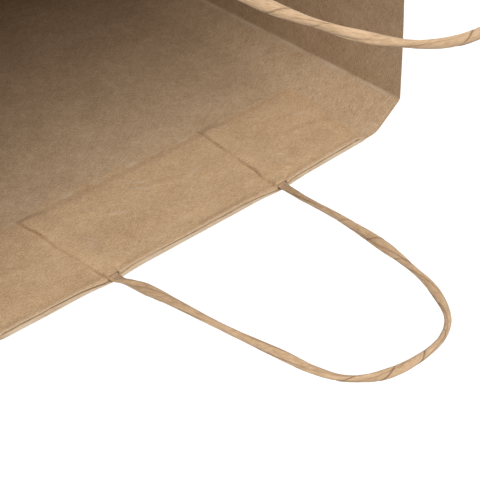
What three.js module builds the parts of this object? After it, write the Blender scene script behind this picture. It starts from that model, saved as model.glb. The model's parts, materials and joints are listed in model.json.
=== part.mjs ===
// A kraft paper gift bag with a block bottom and two twisted paper cord handles.
// Millimetres, +Z up. The origin is the centre of the base, on the surface that the bag stands on.
// X runs along the wide walls, Y from the front wall to the back wall.
// The bag stands open: its mouth is wider than its base, and the ends of both wide walls turn inward
// past the stiff handle patches. Each handle cord is glued between the two strips of its patch.

import * as THREE from 'three';

// Driving dimensions of the bag.
const bagWidth = 250;
const bagDepth = 110;
const bagHeight = 320;
const paper = 0.25; // thickness of one sheet of paper
const glueGap = 0.3; // clear space between neighbouring pieces

// How the open mouth is shaped.
const wallTurn = THREE.MathUtils.degToRad(38); // turn of a wide wall's end at the rim
const wallBendLength = 6; // stretch of the rim over which the wall turns
const wallFlatHalf = 104; // half of the rim's straight stretch
const gussetDip = 10; // how far a gusset's middle crease stands inward at the rim

// Block bottom: three layers of flaps, from the outermost long flap up to the two side flaps.
const flapLength = 70; // how far each bottom flap reaches in from its own crease
const layerStep = paper + glueGap; // from one layer of paper to the next
const bottomLayers = 3;

// Side seam, glued to the inside of the back wall.
const seamWidth = 14;
const seamInset = 1; // clear of the corner crease

// Handle patch: two paper strips with the cord's ends between them.
const patchLength = 200;
const patchHeight = 46;
const patchBelowRim = 2;
const ridgeHalfWidth = 8; // half of the ridge that a buried cord raises in the inner strip

// Handle cord.
const cordDiameter = 3.8;
const cordSpacing = 95; // between the places where the cord's ends leave the patch
const legSplay = 4; // how far a buried end leans outward over the patch's height
const legFlatness = 0.62; // the glued end is pressed to this share of its round thickness
const pivotAboveRim = 6; // the cord bends over the rim about a line at this height
const cordSides = 10;
const loopSteps = 60;

// The free cord's route, as distance from the loop's middle and height above the rim.
const loopRoute = [
  [46.3, 6], [45.2, 12], [44.3, 20], [43.3, 33], [42.4, 46], [40.9, 58], [38.6, 69], [35.3, 80],
  [30.6, 89], [23.5, 97.5], [13, 102.6], [0, 104], [-13, 102.7], [-23, 99], [-30.5, 92.5],
  [-34.4, 83], [-36.6, 70], [-38.8, 58], [-40.7, 46], [-42.3, 33], [-43.4, 20], [-44.3, 12],
  [-45.6, 6],
];

// Layers on the inside of a wide wall, each measured inward from the wall's outer face.
const outerStripLayer = layerStep;
const innerStripLayer = 2 * layerStep;
const legHalfThickness = (cordDiameter / 2) * legFlatness;
const legLayer = innerStripLayer + legHalfThickness; // the buried cord's centreline
const ridgeHeight = legHalfThickness * 2 + glueGap;

// The rim in plan: straight in the middle, then an arc, then a straight end that leads to the corner.
const bendRadius = wallBendLength / wallTurn;
const wallEndLength = bagWidth / 2 - wallFlatHalf - wallBendLength;
const rimCornerX = wallFlatHalf + bendRadius * Math.sin(wallTurn) + wallEndLength * Math.cos(wallTurn);
const rimInset = bendRadius * (1 - Math.cos(wallTurn)) + wallEndLength * Math.sin(wallTurn);
const rimCornerY = Math.sqrt((bagDepth / 2) ** 2 - gussetDip ** 2);
const rimWallY = rimCornerY + rimInset;
const wallLean = Math.atan((rimWallY - bagDepth / 2) / bagHeight);

// Named papers: the faces of the bag, the strips of the handle patches and the cords.
function paperMaterial(color, roughness) {
  return new THREE.MeshStandardMaterial({ color, roughness, metalness: 0 });
}
const wallPaper = () => paperMaterial(0xb3987a, 0.85);
const patchPaper = () => paperMaterial(0xb99b76, 0.82);
const cordPaper = () => paperMaterial(0xc2a078, 0.75);

function namedMesh(name, geometry, material) {
  const mesh = new THREE.Mesh(geometry, material);
  mesh.name = name;
  return mesh;
}

// Evenly spaced values from first to last.
function steps(first, last, count) {
  return Array.from({ length: count + 1 }, (_, i) => first + ((last - first) * i) / count);
}

// A box splits the quads of opposite faces along crossing diagonals. On a bent sheet both broad faces
// need the same diagonal, or the sheet's thickness would vary. The lower broad face is the fourth group.
function alignDiagonals(geometry) {
  const { start, count } = geometry.groups[3];
  const corners = geometry.index.array;
  for (let i = start; i < start + count; i += 6) {
    const [a, b, d, , c] = corners.slice(i, i + 6);
    corners.set([a, b, c, a, c, d], i);
  }
}

// A sheet of paper: a thin box with a column at each station and a row at each level, laid out by
// place(station, depth, level), which gives the point at that distance inward from the outer face.
function sheetGeometry(stations, levels, layer, place) {
  const columns = stations.length - 1;
  const rows = levels.length - 1;
  const geometry = new THREE.BoxGeometry(1, 1, 1, columns, 1, rows);
  const position = geometry.attributes.position;
  for (let i = 0; i < position.count; i += 1) {
    const station = stations[Math.round((position.getX(i) + 0.5) * columns)];
    const level = levels[Math.round((position.getZ(i) + 0.5) * rows)];
    const depth = position.getY(i) < 0 ? layer : layer + paper;
    position.setXYZ(i, ...place(station, depth, level).toArray());
  }
  alignDiagonals(geometry);
  geometry.computeVertexNormals();
  return geometry;
}

// A point of a panel that runs straight from its base line to its rim line, moved inward by depth.
function panelPoint(base, rim, depth, level) {
  const share = level / bagHeight;
  const heading = base.heading.clone().lerp(rim.heading, share).normalize();
  const inward = new THREE.Vector2(-heading.y, heading.x);
  const plan = base.point.clone().lerp(rim.point, share).addScaledVector(inward, depth);
  return new THREE.Vector3(plan.x, plan.y, level);
}

// The front wall's rim at a distance along it from the middle, with its heading.
function wallRim(along) {
  const side = Math.sign(along);
  const bent = THREE.MathUtils.clamp(Math.abs(along) - wallFlatHalf, 0, wallBendLength);
  const end = Math.max(Math.abs(along) - wallFlatHalf - wallBendLength, 0);
  const turn = bent / bendRadius;
  const x = Math.min(Math.abs(along), wallFlatHalf) + bendRadius * Math.sin(turn) + end * Math.cos(turn);
  const inset = bendRadius * (1 - Math.cos(turn)) + end * Math.sin(turn);
  return {
    point: new THREE.Vector2(side * x, inset - rimWallY),
    heading: new THREE.Vector2(Math.cos(turn), side * Math.sin(turn)),
  };
}

// A point on the front wall, at a distance along it from its middle.
function wallPoint(along, depth, level) {
  const base = {
    point: new THREE.Vector2(along, -bagDepth / 2),
    heading: new THREE.Vector2(1, 0),
  };
  return panelPoint(base, wallRim(along), depth, level);
}

// A point on the right gusset, at a distance along it from its middle crease.
function gussetPoint(along, depth, level) {
  const share = Math.abs(along) / (bagDepth / 2);
  const side = Math.sign(along);
  const base = {
    point: new THREE.Vector2(bagWidth / 2, along),
    heading: new THREE.Vector2(0, 1),
  };
  const rim = {
    point: new THREE.Vector2(rimCornerX - gussetDip * (1 - share), side * rimCornerY * share),
    heading: new THREE.Vector2(side * gussetDip, rimCornerY).normalize(),
  };
  return panelPoint(base, rim, depth, level);
}

const wallLevels = steps(0, bagHeight, 8);

// A wide wall, from corner crease to corner crease.
function makeWall(name) {
  const bend = steps(wallFlatHalf, wallFlatHalf + wallBendLength, 3);
  const right = [wallFlatHalf / 2, ...bend, bagWidth / 2];
  const left = right.map((along) => -along).reverse();
  const stations = [...left, 0, ...right];
  return namedMesh(name, sheetGeometry(stations, wallLevels, 0, wallPoint), wallPaper());
}

// Half of the right gusset, on the side of the middle crease that the sign gives.
function makeGussetHalf(name, side) {
  const nearCrease = (side * glueGap) / 2;
  const nearCorner = side * (bagDepth / 2 - layerStep);
  const stations = steps(Math.min(nearCrease, nearCorner), Math.max(nearCrease, nearCorner), 4);
  return namedMesh(name, sheetGeometry(stations, wallLevels, 0, gussetPoint), wallPaper());
}

// The strip that closes the tube of paper, glued to the inside of the wall beside a corner.
function makeSideSeam(name) {
  const outerEnd = bagWidth / 2 - seamInset;
  const stations = [outerEnd - seamWidth, outerEnd];
  const levels = steps(bottomLayers * layerStep, bagHeight, 8);
  return namedMesh(name, sheetGeometry(stations, levels, layerStep, wallPoint), wallPaper());
}

// A bottom flap folded in from the front: its ends narrow along the 45 degree folds.
function makeLongFlap(name, layer) {
  const outer = bagWidth / 2 - layerStep;
  const inner = bagWidth / 2 - flapLength;
  const shape = new THREE.Shape();
  shape.moveTo(-outer, layerStep - bagDepth / 2);
  shape.lineTo(outer, layerStep - bagDepth / 2);
  shape.lineTo(inner, flapLength - bagDepth / 2);
  shape.lineTo(-inner, flapLength - bagDepth / 2);
  const geometry = new THREE.ExtrudeGeometry(shape, { depth: paper, bevelEnabled: false });
  const mesh = namedMesh(name, geometry, wallPaper());
  mesh.position.z = layer;
  return mesh;
}

// A bottom flap folded in from the right gusset, innermost of the three layers.
function makeSideFlap(name, layer) {
  const length = flapLength - layerStep;
  const geometry = new THREE.BoxGeometry(length, bagDepth - 2 * layerStep, paper);
  const mesh = namedMesh(name, geometry, wallPaper());
  mesh.position.set(bagWidth / 2 - layerStep - length / 2, 0, layer + paper / 2);
  return mesh;
}

// How far a buried cord end lies from the wall's middle at a level: it splays outward going down.
function legOffset(level) {
  const belowRim = bagHeight - level;
  return cordSpacing / 2 + (legSplay * belowRim) / (patchBelowRim + patchHeight);
}

// The strip against the wall is flat. The strip over the cord rises in a ridge along each end of it.
function makePatchStrip(name, layer, ridge) {
  const offsets = steps(-ridgeHalfWidth, ridgeHalfWidth, 8);
  const right = [0, ...offsets.map((offset) => cordSpacing / 2 + offset), patchLength / 2];
  const left = right.slice(1).map((along) => -along).reverse();
  const bottom = bagHeight - patchBelowRim - patchHeight;
  const levels = steps(bottom, bagHeight - patchBelowRim, 4);
  const place = (station, depth, level) => {
    const onRidge = Math.abs(Math.abs(station) - cordSpacing / 2) <= ridgeHalfWidth;
    const offset = Math.abs(station) - cordSpacing / 2;
    const rise = onRidge ? ridge * Math.cos((Math.PI * offset) / (2 * ridgeHalfWidth)) ** 2 : 0;
    const along = onRidge ? Math.sign(station) * (legOffset(level) + offset) : station;
    return wallPoint(along, depth + rise, level);
  };
  return namedMesh(name, sheetGeometry([...left, ...right], levels, layer, place), patchPaper());
}

// The end of a cord, pressed oval and glued between the strips, in the frame of the leaning wall.
function makeCordLeg(name, side) {
  const length = patchHeight;
  const geometry = new THREE.CylinderGeometry(cordDiameter / 2, cordDiameter / 2, length, 12);
  geometry.rotateX(Math.PI / 2);
  geometry.scale(1, legFlatness, 1);
  const mesh = namedMesh(name, geometry, cordPaper());
  const middle = -patchBelowRim - length / 2;
  mesh.position.set(side * legOffset(bagHeight + middle), legLayer, middle);
  mesh.rotation.y = -side * Math.atan(legSplay / (patchBelowRim + patchHeight));
  return mesh;
}

// The free loop of a handle, upright above its pivot line.
function makeHandleLoop(name) {
  const points = loopRoute.map(([x, height]) => new THREE.Vector3(x, 0, height - pivotAboveRim));
  const route = new THREE.CatmullRomCurve3(points);
  const section = new THREE.Shape();
  for (let i = 0; i < cordSides; i += 1) {
    const angle = (2 * Math.PI * i) / cordSides;
    const x = (cordDiameter / 2) * Math.cos(angle);
    const y = (cordDiameter / 2) * Math.sin(angle);
    if (i === 0) {
      section.moveTo(x, y);
    } else {
      section.lineTo(x, y);
    }
  }
  const geometry = new THREE.ExtrudeGeometry(section, { steps: loopSteps, extrudePath: route });
  return namedMesh(name, geometry, cordPaper());
}

// One handle with its patch: the frame of cord ends leans with the wall, the loop stands upright.
function makeHandle(side) {
  const handle = new THREE.Group();
  handle.add(makePatchStrip(`${side}_patch_outer_strip`, outerStripLayer, 0));
  handle.add(makePatchStrip(`${side}_patch_inner_strip`, innerStripLayer, ridgeHeight));
  const rimFrame = new THREE.Group();
  rimFrame.position.set(0, -rimWallY, bagHeight);
  rimFrame.rotation.x = wallLean;
  rimFrame.add(makeCordLeg(`${side}_left_cord_end`, -1));
  rimFrame.add(makeCordLeg(`${side}_right_cord_end`, 1));
  handle.add(rimFrame);
  const pivot = new THREE.Group();
  pivot.position.set(0, legLayer - rimWallY, bagHeight + pivotAboveRim);
  pivot.add(makeHandleLoop(`${side}_handle_loop`));
  handle.add(pivot);
  return handle;
}

// The half of the bag that is turned half round to make the other: a wide wall and its handle, one
// gusset, one side flap and one long bottom flap.
function makeHalfBag(wallSide, gussetSide, halves, flapLayer) {
  const half = new THREE.Group();
  half.add(makeWall(`${wallSide}_wall`));
  half.add(makeGussetHalf(`${gussetSide}_gusset_${halves[0]}_half`, -1));
  half.add(makeGussetHalf(`${gussetSide}_gusset_${halves[1]}_half`, 1));
  half.add(makeLongFlap(`bottom_${wallSide}_flap`, flapLayer));
  half.add(makeSideFlap(`bottom_${gussetSide}_flap`, (bottomLayers - 1) * layerStep));
  half.add(makeHandle(wallSide));
  return half;
}

const giftBag = new THREE.Group();
giftBag.add(makeHalfBag('front', 'right', ['front', 'back'], layerStep));
const backHalf = makeHalfBag('back', 'left', ['back', 'front'], 0);
backHalf.add(makeSideSeam('side_seam_flap'));
backHalf.rotation.z = Math.PI;
giftBag.add(backHalf);

export default giftBag;
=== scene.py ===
"""A brown kraft paper gift bag with a block bottom and twisted paper cord handles.

Metres, +Z up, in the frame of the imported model: X runs along the wide walls, Y from the front wall to
the back wall. The back half of the bag is its front half turned half round about Z, so each piece of a
handle is worked out on the front wall and then turned to the back one.
"""

import json
import math

import bmesh
import bpy
from bpy.props import FloatProperty, FloatVectorProperty, IntProperty, PointerProperty
from bpy.types import Operator, Panel, PropertyGroup
from mathutils import Matrix, Vector, noise


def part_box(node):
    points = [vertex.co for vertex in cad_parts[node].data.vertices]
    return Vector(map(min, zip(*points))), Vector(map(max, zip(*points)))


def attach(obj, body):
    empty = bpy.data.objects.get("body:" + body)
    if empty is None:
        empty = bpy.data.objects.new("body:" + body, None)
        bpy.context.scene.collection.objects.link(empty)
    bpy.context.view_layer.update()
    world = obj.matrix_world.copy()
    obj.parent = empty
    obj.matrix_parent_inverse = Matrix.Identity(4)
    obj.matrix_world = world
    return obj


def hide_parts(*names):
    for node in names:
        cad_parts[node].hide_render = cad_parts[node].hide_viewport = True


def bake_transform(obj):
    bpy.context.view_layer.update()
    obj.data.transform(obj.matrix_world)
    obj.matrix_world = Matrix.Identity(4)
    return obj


bl_info = {
    "name": "Kraft paper gift bag",
    "version": (1, 0, 0),
    "blender": (4, 5, 0),
    "location": "3D View > Sidebar > Gift Bag",
    "description": "Makes a kraft paper gift bag with twisted paper cord handles",
    "category": "Object",
}

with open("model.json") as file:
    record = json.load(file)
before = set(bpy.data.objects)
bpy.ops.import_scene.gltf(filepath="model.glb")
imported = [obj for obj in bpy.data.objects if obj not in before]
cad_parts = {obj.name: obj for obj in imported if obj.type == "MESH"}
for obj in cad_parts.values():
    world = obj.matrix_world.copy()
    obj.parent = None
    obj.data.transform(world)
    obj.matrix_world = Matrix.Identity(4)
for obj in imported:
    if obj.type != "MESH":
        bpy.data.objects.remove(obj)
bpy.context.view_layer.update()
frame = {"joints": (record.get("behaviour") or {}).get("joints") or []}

MM = 0.001
HALF_TURN = Matrix.Rotation(math.pi, 4, "Z")

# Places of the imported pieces, from which the sizes below are taken.
WALL_LOW, WALL_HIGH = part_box("front_wall")
FRONT_FLAP_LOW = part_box("bottom_front_flap")[0]
BACK_FLAP_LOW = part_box("bottom_back_flap")[0]
SIDE_FLAP_LOW, SIDE_FLAP_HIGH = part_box("bottom_right_flap")
PATCH_LOW, PATCH_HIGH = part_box("front_patch_inner_strip")
FRONT_PIVOT = Vector(next(j for j in frame["joints"] if j["name"] == "front_handle_tilt")["pos_m"])

# The flaps of the base lie one step above each other, and the side flaps end one step short of the walls.
LAYER_STEP = FRONT_FLAP_LOW.z - BACK_FLAP_LOW.z
BAG_HEIGHT = WALL_HIGH.z
BAG_WIDTH = WALL_HIGH.x - WALL_LOW.x
BAG_DEPTH = SIDE_FLAP_HIGH.y - SIDE_FLAP_LOW.y + 2 * LAYER_STEP
FLAP_LENGTH = SIDE_FLAP_HIGH.x - SIDE_FLAP_LOW.x + LAYER_STEP
RIM_WALL_Y = -WALL_LOW.y
PATCH_LENGTH = PATCH_HIGH.x - PATCH_LOW.x
PATCH_HEIGHT = PATCH_HIGH.z - PATCH_LOW.z
PATCH_TOP = PATCH_HIGH.z
SEAM_WIDTH = 14 * MM

# The halves of the bag, and whether each is the front half turned half round.
HALVES = (("front", False), ("back", True))

# The free cord's route, as distance from the loop's middle and height above the rim.
LOOP_ROUTE = [
    (0.0463, 0.006), (0.0452, 0.012), (0.0443, 0.020), (0.0433, 0.033), (0.0424, 0.046),
    (0.0409, 0.058), (0.0386, 0.069), (0.0353, 0.080), (0.0306, 0.089), (0.0235, 0.0975),
    (0.013, 0.1026), (0, 0.104), (-0.013, 0.1027), (-0.023, 0.099), (-0.0305, 0.0925),
    (-0.0344, 0.083), (-0.0366, 0.070), (-0.0388, 0.058), (-0.0407, 0.046), (-0.0423, 0.033),
    (-0.0434, 0.020), (-0.0443, 0.012), (-0.0456, 0.006),
]

# The top edges of the patches: how far they stand above the strips' nominal tops, how far they wander
# and fray, and how far each cord pulls them up, at what distance to its left. The last is how far to each
# side of an exit the cord pulls the paper with it.
CUT_RISE = 0.4 * MM
CUT_WANDER = 0.35 * MM
CUT_FRAY = 0.12 * MM
CUT_PULL = 0.8 * MM
CUT_PULL_LEFT = 4 * MM
EXIT_WIDTH = 9 * MM

# A distance along the free cord where the wrapped strip's edge lies on the loop's inner side.
WRAP_START = 0.1432

# Where the cord's ends push the rim outward, from the wall's middle.
EXITS = (-46 * MM, 47 * MM)

# Creases that the glue drew up in the patch: distance from its middle, from the rim, and length along the
# wall, how far they rise along it, and their height.
PUCKERS = [
    (0.082, 0.022, 0.019, 0.004, 0.00028), (0.068, 0.036, 0.012, -0.003, 0.0002),
    (0.012, 0.031, 0.022, 0.005, 0.00022), (-0.014, 0.017, 0.016, -0.002, 0.00016),
    (-0.030, 0.036, 0.014, 0.006, 0.0002), (0.036, 0.012, 0.010, 0.003, 0.00018),
    (-0.072, 0.025, 0.018, 0.003, 0.00024), (0.058, 0.008, 0.008, 0.004, 0.0002),
]

# Pale rubbed marks on the patch: distance from its middle, from the rim, length along the wall and how
# far they rise along it.
SCUFFS = [
    (0.001, 0.034, 0.006, 0.004), (0.004, 0.037, 0.005, 0.002), (-0.041, 0.018, 0.004, -0.003),
    (-0.037, 0.022, 0.003, 0.005), (-0.018, 0.028, 0.009, 0.003), (0.026, 0.029, 0.007, -0.002),
    (0.063, 0.015, 0.004, 0.003), (0.090, 0.030, 0.006, 0.002),
]

# The folds of the twisted strip: the depth of its open edge, the angle round the cord and the depth of
# each closed crease, and the depth of its edge where it wraps round.
OPEN_EDGE_DEPTH = 0.3 * MM
CLOSED_CREASES = ((2.3, 0.24 * MM), (4.2, 0.28 * MM))
WRAPPED_EDGE_DEPTH = 0.42 * MM

# Rings of points along each glued end.
END_RINGS = 60

# How the paper strip of a free cord is twisted, at shares of the cord's length: half turns of its flat
# section, how thick it swells, and how plainly its edge shows as it wraps round.
TWIST = [
    (0, 0), (0.05, 0.05), (0.22, 0.73), (0.285, 1.23), (0.345, 1.78), (0.42, 2.45), (0.56, 3.23),
    (0.61, 3.75), (0.705, 4.27), (0.8, 4.76), (0.93, 5.3), (0.98, 6), (1, 6),
]
SWELL = [
    (0, 1), (0.1, 0.95), (0.17, 1.02), (0.22, 1.22), (0.26, 1.15), (0.3, 0.98), (0.345, 1), (0.42, 0.97),
    (0.56, 1), (0.62, 0.95), (0.705, 1), (0.8, 0.97), (0.88, 1), (0.93, 1.17), (0.97, 1.05), (1, 1),
]
WRAP = [
    (0, 0.1), (0.12, 0.15), (0.18, 0.8), (0.27, 0.7), (0.31, 0.15), (0.42, 0.2), (0.47, 1), (0.62, 1),
    (0.67, 0.2), (0.9, 0.15), (1, 0.1),
]


# ---------------------------------------------------------------------------------------------------
# Settings
# ---------------------------------------------------------------------------------------------------


def distance(name, description, default):
    return FloatProperty(name=name, description=description, default=default, unit="LENGTH", precision=5)


def turn_angle(name, description, degrees):
    return FloatProperty(name=name, description=description, default=math.radians(degrees), subtype="ANGLE")


def paint(name, description, code):
    return FloatVectorProperty(
        name=name, description=description, default=linear(code), subtype="COLOR", size=3, min=0, max=1
    )


def linear(code):
    """An sRGB colour, written as six hex digits, as linear red, green and blue."""
    shares = [int(code[i : i + 2], 16) / 255 for i in (1, 3, 5)]
    return [s / 12.92 if s <= 0.04045 else ((s + 0.055) / 1.055) ** 2.4 for s in shares]


class GiftBagSheet(PropertyGroup):
    """Sizes of the folded paper body."""

    paper: distance("Paper", "Thickness of one sheet of paper", 0.17 * MM)
    glue: distance("Glue gap", "Space between two sheets glued together", 0.04 * MM)
    wall_turn: turn_angle("Wall turn", "Turn of a wide wall's end at the rim", 38)
    wall_bend: distance("Wall bend", "Stretch of the rim over which the wall turns", 6 * MM)
    flat_half: distance("Flat half", "Half of the rim's straight stretch", 104 * MM)
    gusset_dip: distance("Gusset dip", "How far a gusset's middle crease stands inward", 10 * MM)
    corner_round: distance("Corner round", "Half of the paper rolled over in a corner crease", 1.6 * MM)
    fold_round: distance("Fold round", "Radius of the fold between a wall and the base", 1.0 * MM)
    rim_bow: distance("Rim bow", "How far the straight rim bows outward", 1.1 * MM)
    rim_flare: distance("Rim flare", "How far the rim curls outward above the patch", 0.5 * MM)
    exit_bulge: distance("Exit bulge", "How far each cord pushes the rim outward", 1.0 * MM)
    cockle: distance("Cockle", "Height of the paper's slow waves", 0.8 * MM)
    fold_mark: distance("Fold mark", "Depth of the crease left by the folded base", 0.35 * MM)


class GiftBagPatch(PropertyGroup):
    """Sizes of the strips that hold the handle cords."""

    right_exit: distance("Right exit", "From the wall's middle to the cord's right end at the rim", 47.5 * MM)
    left_exit: distance("Left exit", "From the wall's middle to the cord's left end at the rim", 45.3 * MM)
    right_splay: distance("Right splay", "How far the right glued end leans outward", 4 * MM)
    left_splay: distance("Left splay", "How far the left glued end leans outward", 2.4 * MM)
    pressed_half: distance("Pressed half", "Half of the glued end's pressed thickness", 0.62 * MM)
    pressed_width: distance("Pressed width", "Half of the glued end's width", 2.75 * MM)
    step_width: distance("Step width", "Width of the steep side of the ridge over a glued end", 0.5 * MM)
    slope_width: distance("Slope width", "Width of the ridge's gentle side", 10 * MM)
    release: distance("Release", "Length over which the pressed end becomes a round cord", 17 * MM)
    freed_above: distance("Freed above", "Height above the rim where the cord is round again", 10 * MM)
    edge_lift: distance("Edge lift", "How far the strip's top edge stands off the wall", 0.6 * MM)
    end_splay: distance("End splay", "How far the strip's lower corners reach outward", 6.5 * MM)
    lean_height: distance("Lean height", "Height over which the loop leans back upright", 28 * MM)
    end_short: distance("End short", "From the strip's lower edge to the glued end", 3 * MM)
    low_bulge: distance("Low bulge", "How far the strip's lower edge reaches down in its middle", 1.8 * MM)
    press: distance("Press", "How far the strip's glued edges are pressed into the wall", 0.13 * MM)
    # Strength of the painted shade at the foot of each ridge over a glued end.
    crease_shade: FloatProperty(name="Crease shade", description="How dark the ridge's foot is", default=0.8)


class GiftBagCord(PropertyGroup):
    """Sizes of the twisted paper cord."""

    diameter: distance("Diameter", "Mean diameter of the cord", 3.8 * MM)
    broad_half: distance("Broad half", "Half of the twisted strip's broad side", 1.82 * MM)
    narrow_half: distance("Narrow half", "Half of the twisted strip's narrow side", 1.3 * MM)
    buried: distance("Buried", "How far the free cord reaches down under the patch", 5 * MM)
    wrap_pitch: distance("Wrap pitch", "Distance between the edges of the tightly wrapped strip", 15 * MM)
    rings: IntProperty(name="Rings", description="Rings of points along the free loop", default=440)
    sides: IntProperty(name="Sides", description="Points in each ring", default=52)


class GiftBagColours(PropertyGroup):
    """Colours of the papers."""

    wall_light: paint("Wall, light", "Lightest tone of the body's paper", "#c8af90")
    wall_dark: paint("Wall, dark", "Darkest tone of the body's paper", "#8f7355")
    patch_light: paint("Patch, light", "Lightest tone of the patch's paper", "#d0b38e")
    patch_dark: paint("Patch, dark", "Darkest tone of the patch's paper", "#957656")
    # Rim is the pale of real wear on creases and rubbed marks, and of a painted highlight on the rim strip
    # above the patches and along their cut top edges.
    rim: paint("Rim", "Colour of the wall's paper along its open rim", "#c6b6a0")
    # Fold is used only as painted shade: the gap along the patch tops, the foot of each ridge and the holes
    # round the cords.
    fold: paint("Fold", "Colour of the paper in a sharp fold", "#6f5336")
    # Painted shade in the cord's folds.
    cord_fold_shade: paint("Cord fold", "Colour of the cord in its folds", "#5f452b")
    edge: paint("Cut edge", "Colour of cut paper", "#dccbb2")
    cord_light: paint("Cord, light", "Lightest tone of the cord", "#d0b392")
    cord_dark: paint("Cord, dark", "Darkest tone of the cord", "#866848")
    floor: paint("Floor", "Colour of the floor", "#ffffff")


class GiftBagStage(PropertyGroup):
    """The camera and the light."""

    azimuth: turn_angle("Azimuth", "Direction that the camera stands in", 228.2)
    elevation: turn_angle("Elevation", "Camera's height above the horizon", 30.7)
    roll: turn_angle("Roll", "Turn of the camera about its line of sight", 120.7)
    lens: FloatProperty(name="Lens", description="Focal length for a 36 mm sensor, in mm", default=120)
    camera_x: distance("Camera X", "Camera's place along the wide walls", -0.379)
    camera_y: distance("Camera Y", "Camera's place across the wide walls", 0.2786)
    camera_z: distance("Camera Z", "Camera's height", 0.6405)
    floor_size: distance("Floor size", "Side of the floor", 12)
    sky: FloatProperty(name="Sky", description="Strength of the light from all round", default=0.64)
    key_strength: FloatProperty(name="Key light", description="Strength of the main light", default=2.8)
    key_azimuth: turn_angle("Key azimuth", "Direction that the main light comes from", 206)
    key_elevation: turn_angle("Key elevation", "Height that the main light comes from", 34)
    fill_strength: FloatProperty(name="Fill light", description="Strength of the second light", default=0.35)
    fill_azimuth: turn_angle("Fill azimuth", "Direction that the second light comes from", -25)
    fill_elevation: turn_angle("Fill elevation", "Height that the second light comes from", 50)
    light_spread: turn_angle("Light spread", "How wide both lights are, which softens their shadows", 45)


SETTINGS = {
    "gift_bag_sheet": GiftBagSheet,
    "gift_bag_patch": GiftBagPatch,
    "gift_bag_cord": GiftBagCord,
    "gift_bag_colours": GiftBagColours,
    "gift_bag_stage": GiftBagStage,
}


# ---------------------------------------------------------------------------------------------------
# Small helpers
# ---------------------------------------------------------------------------------------------------


def clamp(value, low=0.0, high=1.0):
    return max(low, min(high, value))


def ease(value, start, end):
    """Zero before start, one after end, and smooth between them."""
    share = clamp((value - start) / (end - start))
    return share * share * (3 - 2 * share)


def mix(a, b, share):
    return a + (b - a) * share


def bell_curve(value, width):
    """One at zero, falling to nothing over the width on both sides."""
    return math.exp(-((value / width) ** 2))


def wave(x, y, length, seed):
    """Smooth noise from about -1 to 1 that varies over the given length."""
    return noise.noise(Vector((x / length, y / length, seed)))


def along_list(pairs, share):
    """The value at a share of the way along a list of shares and values, which runs straight between
    its entries."""
    for (start, a), (end, b) in zip(pairs, pairs[1:]):
        if share <= end:
            return mix(a, b, (share - start) / (end - start))
    return pairs[-1][1]


def turned(point):
    """The same point on the bag's other half."""
    return Vector((-point.x, -point.y, point.z))


def spans(start, stretches):
    """Values from start on, in stretches that each give their end and their largest step."""
    values = [start]
    for end, step in stretches:
        first = values[-1]
        count = max(1, math.ceil((end - first) / step - 1e-6))
        values.extend(first + (end - first) * i / count for i in range(1, count + 1))
    return values


def mirrored(values):
    """A rising list that starts at zero, with its negative half before it."""
    return [-value for value in reversed(values[1:])] + list(values)


def link_object(name, mesh, materials, half_turn=False):
    """A new object in the scene, whose mesh is turned half round if it is for the back of the bag."""
    if half_turn:
        mesh.transform(HALF_TURN)
    piece = bpy.data.objects.new(name, mesh)
    bpy.context.scene.collection.objects.link(piece)
    for material in materials:
        mesh.materials.append(material)
    return piece


def grid_mesh(name, columns, rows, place, wrap=False):
    """A mesh of one quad grid. place(column, row) gives each point and its tone, which is above zero
    where the paper is darker and below zero where it is paler. The UV map holds column and row in
    metres. A wrapped grid's first and last rows are the same line, which closes it into a tube."""
    bm = bmesh.new()
    uv_layer = bm.loops.layers.uv.new("Sheet")
    tone_layer = bm.verts.layers.float.new("Tone")
    bmesh.ops.create_grid(bm, x_segments=len(columns) - 1, y_segments=len(rows) - 1, size=0.5)
    flat = {}
    for vert in bm.verts:
        column = columns[round((vert.co.x + 0.5) * (len(columns) - 1))]
        row = rows[round((vert.co.y + 0.5) * (len(rows) - 1))]
        flat[vert] = (column, row)
    for edge in bm.edges:
        edge.smooth = not edge.is_boundary
    for face in bm.faces:
        face.smooth = True
        for loop in face.loops:
            loop[uv_layer].uv = flat[loop.vert]
    for vert, (column, row) in flat.items():
        vert.co, vert[tone_layer] = place(column, row)
    if wrap:
        bmesh.ops.remove_doubles(bm, verts=bm.verts, dist=1e-6)
        for edge in bm.edges:
            edge.smooth = not edge.is_boundary
        ends = [edge for edge in bm.edges if edge.is_boundary]
        bmesh.ops.holes_fill(bm, edges=ends, sides=0)
        bmesh.ops.recalc_face_normals(bm, faces=bm.faces)
    mesh = bpy.data.meshes.new(name)
    bm.to_mesh(mesh)
    bm.free()
    return mesh


def thicken(piece, thickness):
    """Gives a sheet its thickness on the side away from its normals. The second material goes on the
    new face and the third on the cut edges."""
    solid = piece.modifiers.new("Paper", "SOLIDIFY")
    solid.thickness = thickness
    solid.offset = -1
    solid.use_even_offset = True
    solid.use_rim = True
    solid.material_offset = 1
    solid.material_offset_rim = 2


# ---------------------------------------------------------------------------------------------------
# The shape of the bag
# ---------------------------------------------------------------------------------------------------


def cut_level(along):
    """The level of a patch's uneven top edge, which the cords pull up on their left sides."""
    level = PATCH_TOP + CUT_RISE - CUT_WANDER * wave(along, 0, 50 * MM, seed=2.2)
    level -= CUT_FRAY * wave(along, 0, 9 * MM, seed=6.1)
    for place in EXITS:
        level += CUT_PULL * bell_curve(along - place + CUT_PULL_LEFT, EXIT_WIDTH)
    return level


def stroke(along, down, mark, width):
    """One on the middle line of a mark, falling to nothing over the width beside it and at its ends.
    down is the distance below the rim."""
    x, z, length, rise = mark
    share = (along - x) / length
    line = z - rise * share
    return bell_curve(down - line, width) * bell_curve(share, 0.5)


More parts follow.
